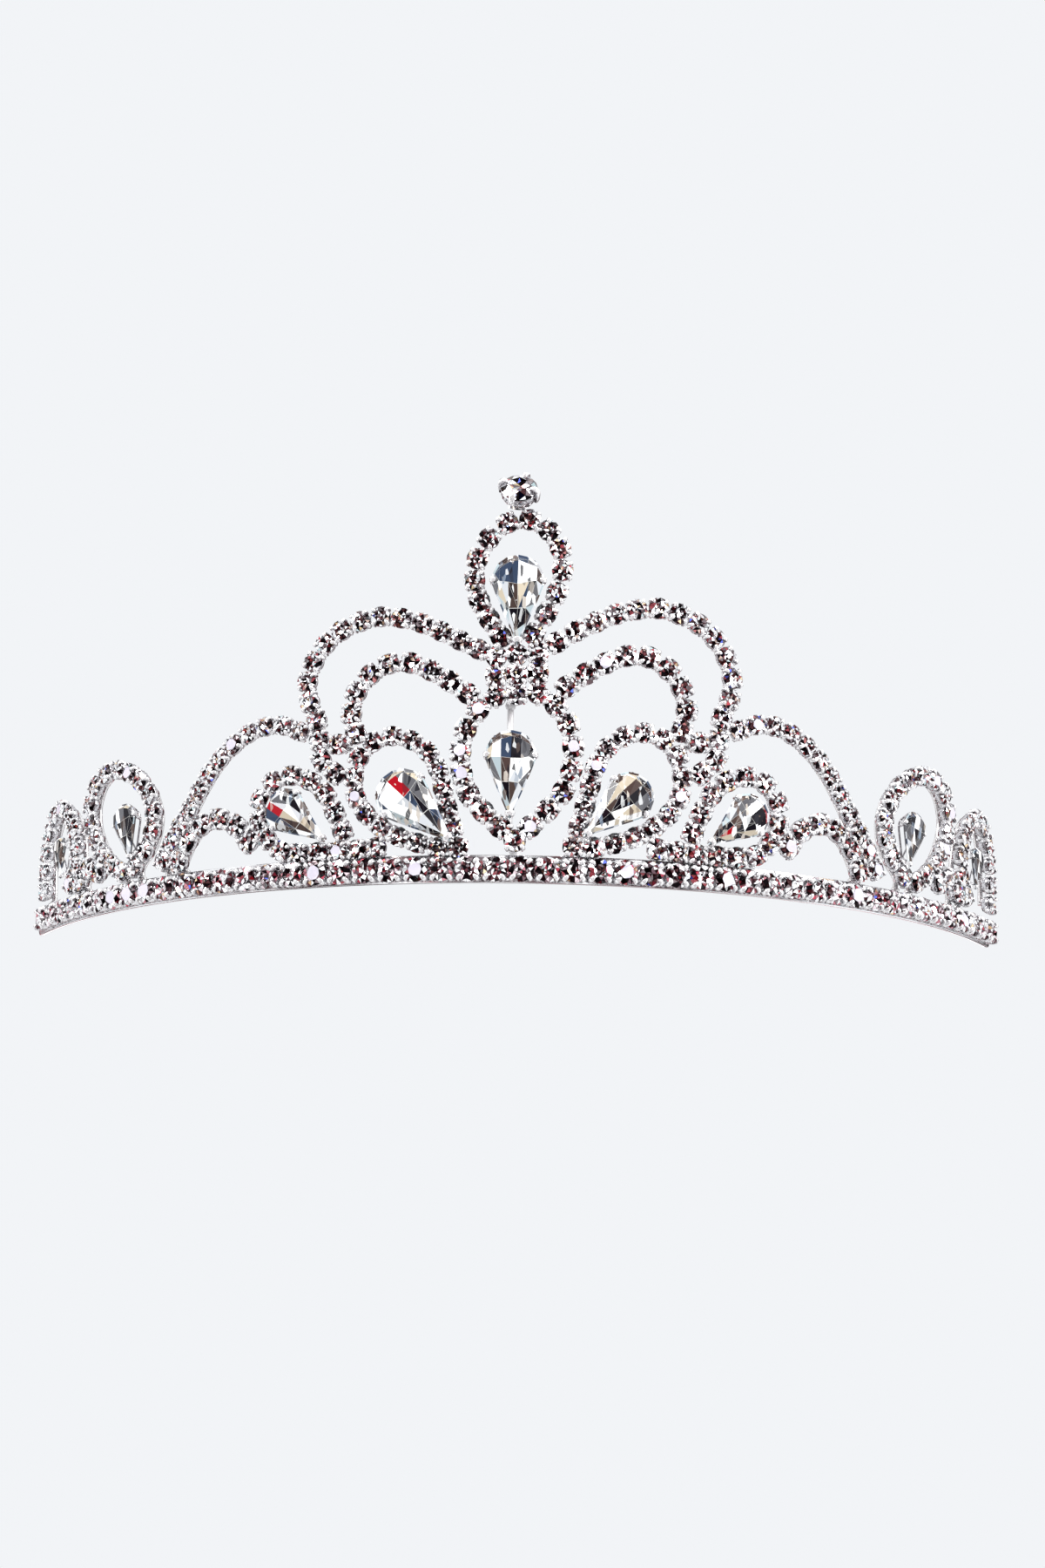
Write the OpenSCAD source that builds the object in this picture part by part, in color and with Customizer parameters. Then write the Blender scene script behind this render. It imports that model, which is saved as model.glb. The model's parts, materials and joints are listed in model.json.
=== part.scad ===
// Bridal tiara made of cup chain: cups on bent backing wires, soldered to a flat metal headband.
// The ornament is drawn flat, u along the band and v upwards from its lower edge, and then wrapped
// round the upright axis of the head. The front of the tiara faces -Y and +Z is up.

/* [Part] */
// Which sub-part to draw, or all

/* [Band] */
// Inner radius of the headband strip
band_r = 87; // [70:1:100]
// Thickness of the strip
band_t = 0.8; // [0.5:0.1:1.5]
// Height of the strip
band_h = 4.8; // [3:0.1:8]
// Length of the strip along its inner face
band_len = 203; // [150:1:240]
// Distance between the stones on the band
band_pitch = 4; // [3:0.1:5]
// Number of stones on the band
band_count = 49; // [31:2:61]
// Sideways shift of the row of band stones
band_shift = 1; // [-2:0.1:2]
// Height of the band stones' centres
band_row_v = 2.1; // [1.9:0.1:4]
// Diameter of a band cup
band_cup_d = 3.8; // [3:0.1:5]
// Diameter of the pin hole in each end of the strip
pin_hole_d = 1.8; // [1:0.1:3]
// Distance of a pin hole from the end of the strip
pin_hole_in = 1.7; // [1.5:0.1:3]

/* [Cup chain] */
// Distance between stones along a chain
chain_pitch = 3.2; // [2.8:0.1:4]
// Diameter of a chain cup
cup_d = 3; // [2.4:0.1:3.4]
// Diameter of the backing wires
wire_d = 0.9; // [0.6:0.1:1.4]
// Diameter of the upright wire behind the middle pear
rod_d = 1; // [0.6:0.1:1.4]

/* [Large stones] */
// Width of a full size pear
pear_w = 8; // [6:0.1:10]
// Length of a full size pear
pear_l = 13; // [9:0.1:16]
// Diameter of the round stone at the top
top_d = 5.5; // [4:0.1:7]
// Height of the foot of the round stone's cup
top_v = 61.2; // [50:0.1:70]
// How far the round stone leans back
top_lean = 30; // [0:5:40]
// How far the foot of its cup stands off the wire
top_off = 1; // [0:0.1:3]

/* [Wings] */
// How much longer the right wing is than the drawing, and the left wing shorter
wing_skew = 0.016; // [0:0.002:0.03]
// How much taller the right wing stands than the drawing, and the left wing lower
wing_rise = 0.022; // [0:0.002:0.03]

/* [Hidden] */
$fn = 32;
face_r = band_r + band_t;            // radius where every cup's back lies
axis_y = 63.9;                       // the upright axis of the head, behind the origin
half_span = band_len / 2 / band_r * 180 / PI;
steps = 8;                           // curve points between two control points
weld_gap = 0.1;                      // clear space between neighbouring solids
wire_ring = 2.6;                     // spacing of the rings along a swept wire
wire_sides = 8;

// Centre lines, as points [u, v] that a smooth curve passes through. Each is drawn for the right
// wing, and the left wing uses the same points with u mirrored.
top_loop = [[1.7, 57.9], [5.3, 55], [6.8, 50.4], [5.8, 45.2], [2.5, 39.3]];
drop_loop = [[5.9, 27.8], [8.2, 23.8], [8.5, 18.6], [6.8, 13.6], [2.3, 8.8]];
upper_arc = [[6, 37.7], [10.8, 40.4], [16.5, 42.9], [22.8, 43.7], [29.6, 41], [33.4, 35.6],
    [33.4, 30.8], [31.7, 26.4], [31.2, 21], [28.6, 18.3]];
inner_arc = [[7.6, 30.6], [12, 33.7], [16.8, 35.9], [21.4, 35.5], [25, 32.2], [26.2, 28.2],
    [25.4, 24.6]];
bridge = [[28.2, 23.1]];
inner_loop = [[8.7, 5.7], [10.6, 12.6], [12.6, 19.6], [16.4, 23.2], [21.2, 23.8], [24.8, 20.6],
    [25.4, 15.2], [22.4, 10.4], [17.2, 7.2], [11.9, 5.8]];
middle_loop = [[27.2, 8.9], [29.9, 14.6], [33, 17.5], [36.4, 18.5], [40, 17.3], [42, 13.2],
    [40.2, 8.5]];
base_row = [[37.6, 6.3], [34.4, 5.7], [28, 5.6], [21.6, 6]];
outer_arc = [[34.9, 25.7], [38.4, 27], [43, 26.7], [47.6, 24.2], [51.8, 20.2], [56, 14.2],
    [59.2, 10], [61, 6.9]];
small_arch = [[43.5, 8.3], [46.2, 11.3], [50.6, 12.6], [54.8, 10.4], [57.4, 6.2]];
outer_loop = [[67.6, 6.8], [64.6, 10], [63.3, 14.6], [65.2, 19.4], [69.4, 22.8], [74.8, 24.1],
    [79.4, 21.8], [80.6, 17.4], [78.4, 12.6], [74.8, 8.8], [71, 6.4]];
end_arch = [[77.4, 7.2], [80.5, 8.4], [83.1, 6.5]];
end_loop = [[86.4, 6.6], [84.6, 10], [85.5, 15], [88.8, 19.6], [93.2, 19.8], [96.4, 15.8],
    [97.2, 11.2], [97, 7]];
joint_side = 3.2;                    // the joint below the crown is a block of three by three cups
joint_rows = [36.2, 33, 29.8];
drop_foot = [0, 6.6];                // the lowest cup of the centre drop
rod_foot = 7.4;                      // the upright wire's ends
rod_top = 28.9;

// Pears, as [u, v, lean, size]: centre of the round head, turn from upright with the tip down,
// and size as a fraction of a full size pear.
crown_pear = [0, 47.9, 0, 1];
centre_pear = [0, 19.6, 0, 1];
inner_pear = [18, 14.6, -47, 1];
middle_pear = [36.6, 12.7, -53, 0.85];
outer_pear = [69.9, 14.9, -14, 0.66];
end_pear = [90.8, 13.4, -8, 0.5];

// ---- curves ----
function hermite(a, b, c, d, t) =
    b + t * (c - a) / 2 + t * t * (a - 2.5 * b + 2 * c - d / 2)
    + t * t * t * (1.5 * b - 1.5 * c + (d - a) / 2);
function curve(p) = let (n = len(p) - 1) [
    for (i = [0:n - 1], k = [0:steps - 1])
        hermite(p[max(i - 1, 0)], p[i], p[i + 1], p[min(i + 2, n)], k / steps),
    p[n]];
function run(q) = [for (i = 0, s = 0; i < len(q);
    s = s + (i + 1 < len(q) ? norm(q[i + 1] - q[i]) : 0), i = i + 1) s];
function point_at(q, c, s) = let (
    i = max([for (k = [0:len(c) - 2]) c[k] <= s ? k : 0]),
    t = min(1, (s - c[i]) / (c[i + 1] - c[i]))) q[i] + t * (q[i + 1] - q[i]);
// Points at an equal spacing, which is the pitch or a little more.
function spaced(p, pitch) = let (q = curve(p), c = run(q), n = floor(c[len(c) - 1] / pitch))
    [for (k = [0:n]) point_at(q, c, c[len(c) - 1] * k / n)];

// ---- wrapping round the head ----
// The two wings differ a little in size, and the difference fades out over the centre.
function wing(u) = max(-1, min(1, u / 8));
function angle(u) = u * (1 + wing_skew * wing(u)) / face_r * 180 / PI;
function height(u, v) = v * (1 + wing_rise * wing(u));
function wrap(u, v, r) = [r * sin(angle(u)), axis_y - r * cos(angle(u)), height(u, v)];
function flip(p, side) = [for (q = p) [q[0] * side, q[1]]];

// Puts a child that faces +Z onto the cylinder of radius r, facing outwards with its +Y up.
module on_band(u, v, r = face_r) {
    translate([0, axis_y, height(u, v)]) rotate([0, 0, angle(u)]) translate([0, -r, 0])
        rotate([90, 0, 0]) children();
}

// ---- round stones and cups ----
// Both stand on z = 0 and have a rim of diameter d. The stone's girdle rests on the cup's step.
module round_cup(d) {
    r = d / 2;
    rotate_extrude() polygon([[0, 0], [0.62 * r, 0], [r, 0.6 * r], [r, 1.24 * r],
        [0.87 * r, 1.24 * r], [0.87 * r, 0.98 * r], [0.72 * r, 0.98 * r], [0, 0.25 * r]]);
}

module round_stone(d) {
    r = d / 2;
    rotate_extrude() polygon([[0, 0.32 * r], [0.72 * r, 0.98 * r], [0.84 * r, 0.98 * r],
        [0.84 * r, 1.12 * r], [0.55 * r, 1.42 * r], [0, 1.42 * r]]);
}

module cup_row(p) {
    color("silver") for (q = p) on_band(q[0], q[1]) round_cup(cup_d);
}

module stone_row(p) {
    color("ghostwhite") for (q = p) on_band(q[0], q[1]) round_stone(cup_d);
}

// ---- pears ----
// Outline with its head at the origin and its tip towards -Y. grow widens it on every side.
function pear_outline(size, grow) = let (
    r = pear_w / 2 * size + grow,
    tip = (pear_l - pear_w / 2) * size * r / (pear_w / 2 * size),
    open = acos(r / tip))
    concat([[0, -tip]], [for (k = [0:20]) let (a = -90 + open + k * (360 - 2 * open) / 20)
        r * [cos(a), sin(a)]]);

module pear_slab(size, grow, low, high) {
    translate([0, 0, low]) linear_extrude(high - low) polygon(pear_outline(size, grow));
}

// The setting: a dished cup with a step that the girdle rests on, and a rim round the girdle.
module pear_cup(size) {
    difference() {
        pear_slab(size, 0.35, 0, 3.1 * size);
        pear_slab(size, -0.7 * size, 0.5, 4);
        pear_slab(size, 0.02, 2.7 * size, 4);
    }
}

module pear_stone(size) {
    translate([0, 0, 2.7 * size]) linear_extrude(0.5 * size) polygon(pear_outline(size, -0.03));
    translate([0, 0, 3.2 * size]) linear_extrude(1.5 * size, scale = 0.55)
        polygon(pear_outline(size, -0.03));
    translate([0, 0, 2.7 * size]) mirror([0, 0, 1]) linear_extrude(1.9 * size, scale = 0.3)
        polygon(pear_outline(size, -0.8 * size));
}

module place_pear(p, side) {
    on_band(p[0] * side, p[1]) rotate([0, 0, p[2] * side]) children();
}

module pear_cups(list, side) {
    color("silver") for (p = list) place_pear(p, side) pear_cup(p[3]);
}

module pear_stones(list, side) {
    color("ghostwhite") for (p = list) place_pear(p, side) pear_stone(p[3]);
}

// ---- swept wires ----
// A wire along points [u, v], with a flat side outwards so that the cups sit on it face to face.
module wire(p, d) {
    half = d / 2 / cos(180 / wire_sides);
    r = face_r - d / 2;
    n = len(p);
    rings = [for (i = [0:n - 1]) let (
        here = wrap(p[i][0], p[i][1], r),
        ahead = wrap(p[min(i + 1, n - 1)][0], p[min(i + 1, n - 1)][1], r),
        behind = wrap(p[max(i - 1, 0)][0], p[max(i - 1, 0)][1], r),
        along = (ahead - behind) / norm(ahead - behind),
        out = [sin(angle(p[i][0])), -cos(angle(p[i][0])), 0],
        aside = cross(out, along))
        for (k = [0:wire_sides - 1]) let (a = (k + 0.5) * 360 / wire_sides)
            here + half * (cos(a) * out + sin(a) * aside / norm(aside))];
    last = (n - 1) * wire_sides;
    sides = [for (i = [0:n - 2], k = [0:wire_sides - 1]) let (
        a = i * wire_sides + k, b = i * wire_sides + (k + 1) % wire_sides)
        [a, b, b + wire_sides, a + wire_sides]];
    polyhedron(rings, concat([[for (k = [0:wire_sides - 1]) wire_sides - 1 - k]], sides,
        [[for (k = [0:wire_sides - 1]) last + k]]), convexity = 4);
}

// Extends a centre line straight past its ends.
function longer(p, first, end) = let (n = len(p) - 1) concat(
    first > 0 ? [p[0] + first * (p[0] - p[1]) / norm(p[0] - p[1])] : [], p,
    end > 0 ? [p[n] + end * (p[n] - p[n - 1]) / norm(p[n] - p[n - 1])] : []);
function wire_run(p, side) = flip(spaced(p, wire_ring), side);

// Every wire ends just short of its neighbour, where the real one is soldered to it.
module arc_wires(side) {
    color("silver") {
        wire(wire_run(longer(upper_arc, 1.8, 2.2), side), wire_d);
        wire(wire_run(longer(inner_arc, 2, 1.8), side), wire_d);
    }
}

module loop_wires(side) {
    strip_top = band_h / (1 - wing_rise) + weld_gap;
    color("silver") {
        wire(wire_run([[30.3, 23.7], [28.2, 23.1], [26.1, 22.2]], side), wire_d);
        wire(wire_run(concat([[8.7, strip_top]], inner_loop, [[10.4, strip_top]]), side), wire_d);
        wire(wire_run(concat([[27.2, 6.9]], middle_loop, [[39.6, 7.4]]), side), wire_d);
        wire(wire_run(concat([[38.6, 6.7]], base_row, [[20.2, strip_top]]), side), wire_d);
        wire(wire_run(longer(outer_arc, 2.6, 1.8), side), wire_d);
        wire(wire_run(concat([[42.6, 7.2]], small_arch, [[58, strip_top]]), side), wire_d);
        wire(wire_run(concat([[68.3, strip_top]], outer_loop, [[70.1, strip_top]]), side), wire_d);
        wire(wire_run(concat([[76.2, 7.9]], end_arch, [[83.6, strip_top]]), side), wire_d);
        wire(wire_run(concat([[87, strip_top]], end_loop, [[96.8, strip_top]]), side), wire_d);
    }
}

// ---- parts ----
module band_strip() {
    color("silver") translate([0, axis_y, 0]) difference() {
        rotate([0, 0, -90 - half_span]) rotate_extrude(angle = 2 * half_span, $fn = 360)
            translate([band_r, 0]) square([band_t, band_h]);
        for (side = [-1, 1]) rotate([0, 0, side * (half_span - pin_hole_in / band_r * 180 / PI)])
            translate([0, -band_r + 2, band_h / 2]) rotate([90, 0, 0])
                cylinder(h = 6, d = pin_hole_d);
    }
}

function band_points() = [for (k = [0:band_count - 1])
    band_shift + (k - (band_count - 1) / 2) * band_pitch];

module on_strip(u) {
    translate([0, axis_y, band_row_v]) rotate([0, 0, u / face_r * 180 / PI])
        translate([0, -face_r, 0]) rotate([90, 0, 0]) children();
}

module band_cups() {
    color("silver") for (u = band_points()) on_strip(u) round_cup(band_cup_d);
}

module band_stones() {
    color("ghostwhite") for (u = band_points()) on_strip(u) round_stone(band_cup_d);
}

module on_top() {
    on_band(0, top_v) translate([0, 0, top_off]) rotate([-top_lean, 0, 0]) children();
}

module top_cup() {
    color("silver") on_top() round_cup(top_d + 0.7);
}

module top_stone() {
    color("ghostwhite") on_top() round_stone(top_d + 0.7);
}

function both_sides(p) = concat(p, flip(p, -1));
function reverse(p) = [for (i = [len(p) - 1:-1:0]) p[i]];
function crown_points() = both_sides(spaced(top_loop, chain_pitch));
function drop_points() = concat([drop_foot], both_sides(spaced(drop_loop, chain_pitch)));
function joint_points() = [for (v = joint_rows, k = [-1:1]) [k * joint_side, v]];

// One wire runs from the foot up the right of the drop, the joint and the crown, and back down.
module centre_wires() {
    rise = concat([[0.5, 6.3]], reverse(drop_loop), [[joint_side, 29.8], [joint_side, 36.2]],
        reverse(top_loop));
    color("silver") {
        wire(wire_run(concat(rise, [[0, 58.6]], reverse(flip(rise, -1))), 1), wire_d);
        wire([[0, 59.2], [0, 61.2], [0, 63.2]], wire_d);
        wire([[0, 37], [0, 33], [0, rod_top + weld_gap]], wire_d);
        wire([[0, 5.7], [0, band_h + weld_gap]], wire_d);
    }
}

module centre_rod() {
    color("silver") translate([0, axis_y - face_r + rod_d / 2, rod_foot])
        cylinder(h = rod_top - rod_foot, d = rod_d);
}

module wing_chain(p, side, stones) {
    if (stones) stone_row(flip(p, side));
    else cup_row(flip(p, side));
}

wing_pears = [inner_pear, middle_pear, outer_pear, end_pear];

module upper_arc_chain(side, stones) {
    wing_chain(concat(spaced(upper_arc, chain_pitch), bridge), side, stones);
}
module inner_arc_chain(side, stones) { wing_chain(spaced(inner_arc, chain_pitch), side, stones); }
module inner_loop_chain(side, stones) {
    wing_chain(spaced(inner_loop, chain_pitch), side, stones);
}
module middle_loop_chain(side, stones) {
    wing_chain(concat(spaced(middle_loop, chain_pitch), spaced(base_row, chain_pitch)), side,
        stones);
}
module outer_arc_chain(side, stones) { wing_chain(spaced(outer_arc, chain_pitch), side, stones); }
module small_arch_chain(side, stones) {
    wing_chain(concat(spaced(small_arch, chain_pitch), end_arch), side, stones);
}
module outer_loop_chain(side, stones) { wing_chain(spaced(outer_loop, chain_pitch), side, stones); }
module end_loop_chain(side, stones) { wing_chain(spaced(end_loop, chain_pitch), side, stones); }

band_strip();
band_cups();
band_stones();
top_cup();
top_stone();
cup_row(crown_points());  // crown_loop_cups
stone_row(crown_points());  // crown_loop_stones
pear_cups([crown_pear], 1);  // crown_pear_cup
pear_stones([crown_pear], 1);  // crown_pear_stone
cup_row(joint_points());  // joint_cups
stone_row(joint_points());  // joint_stones
cup_row(drop_points());  // centre_drop_cups
stone_row(drop_points());  // centre_drop_stones
centre_rod();
pear_cups([centre_pear], 1);  // centre_pear_cup
pear_stones([centre_pear], 1);  // centre_pear_stone
centre_wires();
arc_wires(-1);  // left_arc_wires
loop_wires(-1);  // left_loop_wires
arc_wires(1);  // right_arc_wires
loop_wires(1);  // right_loop_wires
upper_arc_chain(-1, false);  // left_upper_arc_cups
upper_arc_chain(-1, true);  // left_upper_arc_stones
upper_arc_chain(1, false);  // right_upper_arc_cups
upper_arc_chain(1, true);  // right_upper_arc_stones
inner_arc_chain(-1, false);  // left_inner_arc_cups
inner_arc_chain(-1, true);  // left_inner_arc_stones
inner_arc_chain(1, false);  // right_inner_arc_cups
inner_arc_chain(1, true);  // right_inner_arc_stones
inner_loop_chain(-1, false);  // left_inner_loop_cups
inner_loop_chain(-1, true);  // left_inner_loop_stones
inner_loop_chain(1, false);  // right_inner_loop_cups
inner_loop_chain(1, true);  // right_inner_loop_stones
middle_loop_chain(-1, false);  // left_middle_loop_cups
middle_loop_chain(-1, true);  // left_middle_loop_stones
middle_loop_chain(1, false);  // right_middle_loop_cups
middle_loop_chain(1, true);  // right_middle_loop_stones
outer_arc_chain(-1, false);  // left_outer_arc_cups
outer_arc_chain(-1, true);  // left_outer_arc_stones
outer_arc_chain(1, false);  // right_outer_arc_cups
outer_arc_chain(1, true);  // right_outer_arc_stones
small_arch_chain(-1, false);  // left_small_arch_cups
small_arch_chain(-1, true);  // left_small_arch_stones
small_arch_chain(1, false);  // right_small_arch_cups
small_arch_chain(1, true);  // right_small_arch_stones
outer_loop_chain(-1, false);  // left_outer_loop_cups
outer_loop_chain(-1, true);  // left_outer_loop_stones
outer_loop_chain(1, false);  // right_outer_loop_cups
outer_loop_chain(1, true);  // right_outer_loop_stones
end_loop_chain(-1, false);  // left_end_loop_cups
end_loop_chain(-1, true);  // left_end_loop_stones
end_loop_chain(1, false);  // right_end_loop_cups
end_loop_chain(1, true);  // right_end_loop_stones
pear_cups(wing_pears, -1);  // left_pear_cups
pear_stones(wing_pears, -1);  // left_pear_stones
pear_cups(wing_pears, 1);  // right_pear_cups
pear_stones(wing_pears, 1);  // right_pear_stones
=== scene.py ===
"""Looks for the bridal tiara: every cup, prong, gem and wire is built on the seats that the CAD frame gives.

A seat is a place on the headband's cylinder: local +Z points outwards, +Y up and +X along the band. The
seats are read from the CAD solids. Only the rod and a few pears then stand a little aside of theirs."""

import json
import math

import bmesh
import bpy
import numpy as np
from mathutils import Matrix, Vector

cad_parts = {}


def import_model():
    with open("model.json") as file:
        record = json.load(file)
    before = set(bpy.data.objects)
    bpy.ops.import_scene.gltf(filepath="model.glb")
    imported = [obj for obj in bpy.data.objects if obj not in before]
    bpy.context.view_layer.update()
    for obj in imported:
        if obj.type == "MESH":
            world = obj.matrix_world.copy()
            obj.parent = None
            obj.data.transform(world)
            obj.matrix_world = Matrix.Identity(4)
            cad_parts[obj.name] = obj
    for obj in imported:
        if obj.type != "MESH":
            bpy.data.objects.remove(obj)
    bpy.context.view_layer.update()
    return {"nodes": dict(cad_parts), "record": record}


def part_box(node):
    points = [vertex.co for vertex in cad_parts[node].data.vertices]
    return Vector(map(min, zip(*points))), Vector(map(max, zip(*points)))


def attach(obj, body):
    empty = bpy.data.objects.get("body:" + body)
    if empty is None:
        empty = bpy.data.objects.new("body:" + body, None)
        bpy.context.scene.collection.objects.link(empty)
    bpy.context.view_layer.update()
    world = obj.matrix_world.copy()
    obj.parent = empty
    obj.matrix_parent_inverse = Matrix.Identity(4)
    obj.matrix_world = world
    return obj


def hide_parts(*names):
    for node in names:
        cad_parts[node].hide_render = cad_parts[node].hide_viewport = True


MM = 0.001
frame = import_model()
rng = np.random.default_rng(7)

# ---- frame: the head's upright axis and the cylinder that every cup's back lies on ----
mounts = {m["name"]: m for m in frame["record"]["mounts"]}
pin_pos, pin_axis = mounts["right_pin_hole"]["pos_m"], mounts["right_pin_hole"]["axis"]
AXIS_Y = pin_pos[1] - pin_axis[1] / pin_axis[0] * pin_pos[0]
FACE_R = AXIS_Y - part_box("band_strip")[0].y
STRIP_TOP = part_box("band_strip")[1].z

# ---- sizes and the colour of the backdrop ----
WIRE_R = 0.45 * MM
PIN_HOLE_R = 0.9 * MM
CHAIN_REACH = 4.4 * MM       # neighbours along a chain are never further apart than this
FOOT_BELOW = 7.0 * MM        # a wire that ends lower than this stands on the strip
ROD_ASIDE = -0.9 * MM        # how far the upright rod stands to the side of its drawn place
BACKDROP = (0.888, 0.905, 0.93)


def seat_matrix(angle, height, radius=None):
    """Seat at an angle round the head, counted from the front towards +X."""
    s, c = math.sin(angle), math.cos(angle)
    radius = FACE_R if radius is None else radius
    return Matrix(((c, 0, s, radius * s), (s, 0, -c, AXIS_Y - radius * c), (0, 1, 0, height), (0, 0, 0, 1)))


def solids(node):
    """Corner arrays of a CAD node's separate solids."""
    bm = bmesh.new()
    bm.from_mesh(frame["nodes"][node].data)
    bmesh.ops.remove_doubles(bm, verts=bm.verts, dist=1e-6)
    bm.verts.ensure_lookup_table()
    seen, found = set(), []
    for start in bm.verts:
        if start.index in seen:
            continue
        seen.add(start.index)
        stack, island = [start], []
        while stack:
            v = stack.pop()
            island.append(v.co.copy())
            for e in v.link_edges:
                w = e.other_vert(v)
                if w.index not in seen:
                    seen.add(w.index)
                    stack.append(w)
        found.append(np.array(island))
    bm.free()
    return found


def place_of(points):
    """(angle, height) of the middle of a solid's box, seen along its own radius."""
    mean = points.mean(0)
    angle = math.atan2(mean[0], AXIS_Y - mean[1])
    along = points[:, 0] * math.cos(angle) + (points[:, 1] - AXIS_Y) * math.sin(angle)
    angle += (along.max() + along.min()) / 2 / FACE_R
    return angle, (points[:, 2].max() + points[:, 2].min()) / 2


def chains(node):
    """Runs of neighbouring seats in a node, each a list of (angle, height) in order along the chain."""
    left = [place_of(p) for p in solids(node)]
    flat = lambda s: np.array((s[0] * FACE_R, s[1]))
    runs = []
    while left:
        near = [sum(np.linalg.norm(flat(s) - flat(o)) < CHAIN_REACH for o in left) for s in left]
        run = [left.pop(int(np.argmin(near)))]
        while left:
            d = [np.linalg.norm(flat(run[-1]) - flat(o)) for o in left]
            i = int(np.argmin(d))
            if d[i] > CHAIN_REACH:
                break
            run.append(left.pop(i))
        runs.append(run)
    return runs


# ---- meshes ----
class Shape:
    """Corners, faces, face materials and one number from 0 to 1 a face, built up part by part."""

    def __init__(self):
        self.verts, self.faces, self.slots, self.chance, self.smooth = [], [], [], [], []

    def add(self, verts, faces, slot=0, chance=None, smooth=False):
        """Adds faces. slot is one material number, or one a face. chance is drawn if it is not given."""
        base = len(self.verts)
        self.verts += [tuple(v) for v in verts]
        self.faces += [tuple(base + i for i in f) for f in faces]
        self.slots += [slot] * len(faces) if isinstance(slot, int) else list(slot)
        self.chance += list(rng.random(len(faces))) if chance is None else list(chance)
        self.smooth += [smooth] * len(faces)

    def add_shape(self, other, matrix, fresh=True):
        """Adds a copy of another shape. fresh draws new random numbers for its faces."""
        base = len(self.verts)
        co = np.array(other.verts) @ np.array(matrix.to_3x3()).T + np.array(matrix.translation)
        self.verts += [tuple(v) for v in co]
        self.faces += [tuple(base + i for i in f) for f in other.faces]
        self.slots += other.slots
        self.chance += list(rng.random(len(other.faces))) if fresh else other.chance
        self.smooth += other.smooth

    def piece(self, name, materials, node, record_slot):
        """Makes the mesh object that stands for a CAD node. Every corner of a three sided face gets a unit
        vector of its own, so that the least of the three shows how near a point is to the face's edges."""
        mesh = bpy.data.meshes.new(name)
        mesh.from_pydata(self.verts, [], self.faces)
        for m in materials:
            mesh.materials.append(m)
        mesh.polygons.foreach_set("material_index", self.slots)
        mesh.polygons.foreach_set("use_smooth", self.smooth)
        mesh.attributes.new("chance", "FLOAT", "FACE").data.foreach_set("value", self.chance)
        inset = [c for f in self.faces
                 for c in (np.eye(3) if len(f) == 3 else np.ones((len(f), 3))).ravel()]
        mesh.attributes.new("inset", "FLOAT_VECTOR", "CORNER").data.foreach_set("vector", inset)
        mesh.validate()
        obj = bpy.data.objects.new(name, mesh)
        bpy.context.scene.collection.objects.link(obj)
        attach(obj, "root")
        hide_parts(node)
        return obj


def ring(radius, z, n, turn=0.0):
    """Corners of a regular polygon at height z, the first one at the angle turn."""
    return [(radius * math.cos(a), radius * math.sin(a), z)
            for a in (turn + 2 * math.pi * k / n for k in range(n))]


def lathe(shape, profile, n, slot=0):
    """Turned surface through the (radius, z) profile. A radius of 0 closes it."""
    verts, starts = [], []
    for r, z in profile:
        starts.append(len(verts))
        verts += [(0, 0, z)] if r == 0 else ring(r, z, n)
    faces = []
    for (r0, _), (r1, _), a, b in zip(profile, profile[1:], starts, starts[1:]):
        for k in range(n):
            k1 = (k + 1) % n
            low = (a,) if r0 == 0 else (a + k, a + k1)
            high = (b,) if r1 == 0 else (b + k1, b + k)
            faces.append(low + high)
    shape.add(verts, faces, slot, smooth=True)


def sweep(shape, points, normals, radius, sides):
    """Round wire along world points, with flat ends. normals keep the rings from twisting."""
    points = np.array(points)
    along = np.gradient(points, axis=0)
    along /= np.linalg.norm(along, axis=1)[:, None]
    verts = []
    for p, t, n in zip(points, along, np.array(normals)):
        n = n - t * (n @ t)
        n /= np.linalg.norm(n)
        b = np.cross(t, n)
        for k in range(sides):
            a = 2 * math.pi * k / sides
            verts.append(p + radius * (math.cos(a) * n + math.sin(a) * b))
    faces = [(i * sides + k, i * sides + (k + 1) % sides, (i + 1) * sides + (k + 1) % sides,
              (i + 1) * sides + k)
             for i in range(len(points) - 1) for k in range(sides)]
    shape.add(verts, faces, smooth=True)
    last = (len(points) - 1) * sides
    base = len(shape.verts) - len(verts)
    shape.faces += [tuple(base + k for k in reversed(range(sides))),
                    tuple(base + last + k for k in range(sides))]
    shape.slots += [0] * 2
    shape.chance += [0.5] * 2
    shape.smooth += [False] * 2


def smooth_path(points, per_span=5):
    """Curve through the points (Catmull-Rom), with per_span steps between neighbours."""
    p = [np.array(q, float) for q in points]
    p = [2 * p[0] - p[1]] + p + [2 * p[-1] - p[-2]]
    out = []
    for a, b, c, d in zip(p, p[1:], p[2:], p[3:]):
        for k in range(per_span):
            t = k / per_span
            out.append(b + t * (c - a) / 2 + t * t * (a - 2.5 * b + 2 * c - d / 2)
                       + t ** 3 * (1.5 * b - 1.5 * c + (d - a) / 2))
    return out + [p[-2]]


# ---- gems ----
# Painted reflections of the pears' facets: what each facet mirrors and shows through the glass, painted
# as its colour. A facet's number from 0 to 1 says which one it has.
PAINTED_REFLECTIONS = {"black": (0.006, 0.005, 0.008), "brown": (0.055, 0.037, 0.033), "red": (0.3, 0.004, 0.01),
          "gray": (0.1, 0.1, 0.11), "slate": (0.03, 0.045, 0.08), "teal": (0.36, 0.43, 0.46),
          "beige": (0.46, 0.4, 0.31), "pale": (0.5, 0.52, 0.55), "white": (0.97, 0.97, 0.97)}


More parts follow.
